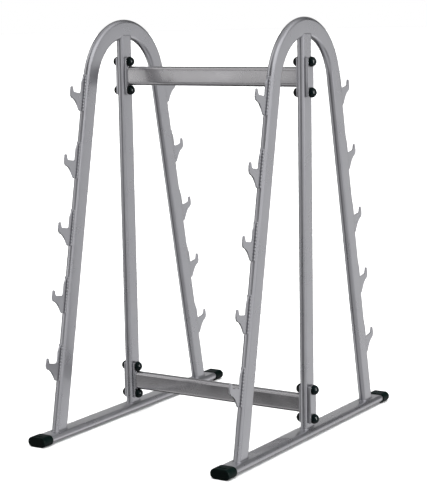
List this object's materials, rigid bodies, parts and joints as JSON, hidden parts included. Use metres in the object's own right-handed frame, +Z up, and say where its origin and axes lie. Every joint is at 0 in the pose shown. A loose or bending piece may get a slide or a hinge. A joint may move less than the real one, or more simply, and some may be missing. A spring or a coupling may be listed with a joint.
{
  "type": "barbell storage rack",
  "caption": "Free-standing A-frame rack that stores barbells on open plate hooks welded up both splayed legs of two side frames joined by crossbeams.",
  "frame": {"origin": "on the floor, in the middle of the four foot caps", "axes": "+Z up, +Y along the base tubes towards the back, +X along the crossbeams"},
  "size_m": [0.865, 1.1918, 1.5],
  "materials": {
    "grey_paint": "silver-grey metallic powder coat, satin",
    "bolt": "zinc plated",
    "dome_cover": "glossy black",
    "foot_cap": "satin black moulded plastic"
  },
  "bodies": {
    "root": {"left_hoop": "grey_paint", "left_post": "grey_paint", "left_base_tube": "grey_paint", "left_front_hook_1": "grey_paint", "left_front_hook_2": "grey_paint", "left_front_hook_3": "grey_paint", "left_front_hook_4": "grey_paint", "left_front_hook_5": "grey_paint", "left_front_foot_cap": "foot_cap", "left_back_hook_1": "grey_paint", "left_back_hook_2": "grey_paint", "left_back_hook_3": "grey_paint", "left_back_hook_4": "grey_paint", "left_back_hook_5": "grey_paint", "left_back_foot_cap": "foot_cap", "left_upper_backing_plate": "grey_paint", "left_upper_bolt_high": "bolt", "left_upper_outer_dome_high": "dome_cover", "left_upper_inner_dome_high": "dome_cover", "left_upper_bolt_low": "bolt", "left_upper_outer_dome_low": "dome_cover", "left_upper_inner_dome_low": "dome_cover", "left_lower_backing_plate": "grey_paint", "left_lower_bolt_high": "bolt", "left_lower_outer_dome_high": "dome_cover", "left_lower_inner_dome_high": "dome_cover", "left_lower_bolt_low": "bolt", "left_lower_outer_dome_low": "dome_cover", "left_lower_inner_dome_low": "dome_cover", "right_hoop": "grey_paint", "right_post": "grey_paint", "right_base_tube": "grey_paint", "right_front_hook_1": "grey_paint", "right_front_hook_2": "grey_paint", "right_front_hook_3": "grey_paint", "right_front_hook_4": "grey_paint", "right_front_hook_5": "grey_paint", "right_front_foot_cap": "foot_cap", "right_back_hook_1": "grey_paint", "right_back_hook_2": "grey_paint", "right_back_hook_3": "grey_paint", "right_back_hook_4": "grey_paint", "right_back_hook_5": "grey_paint", "right_back_foot_cap": "foot_cap", "right_upper_backing_plate": "grey_paint", "right_upper_bolt_high": "bolt", "right_upper_outer_dome_high": "dome_cover", "right_upper_inner_dome_high": "dome_cover", "right_upper_bolt_low": "bolt", "right_upper_outer_dome_low": "dome_cover", "right_upper_inner_dome_low": "dome_cover", "right_lower_backing_plate": "grey_paint", "right_lower_bolt_high": "bolt", "right_lower_outer_dome_high": "dome_cover", "right_lower_inner_dome_high": "dome_cover", "right_lower_bolt_low": "bolt", "right_lower_outer_dome_low": "dome_cover", "right_lower_inner_dome_low": "dome_cover", "upper_crossbeam": "grey_paint", "lower_crossbeam": "grey_paint"}
  },
  "joints": []
}
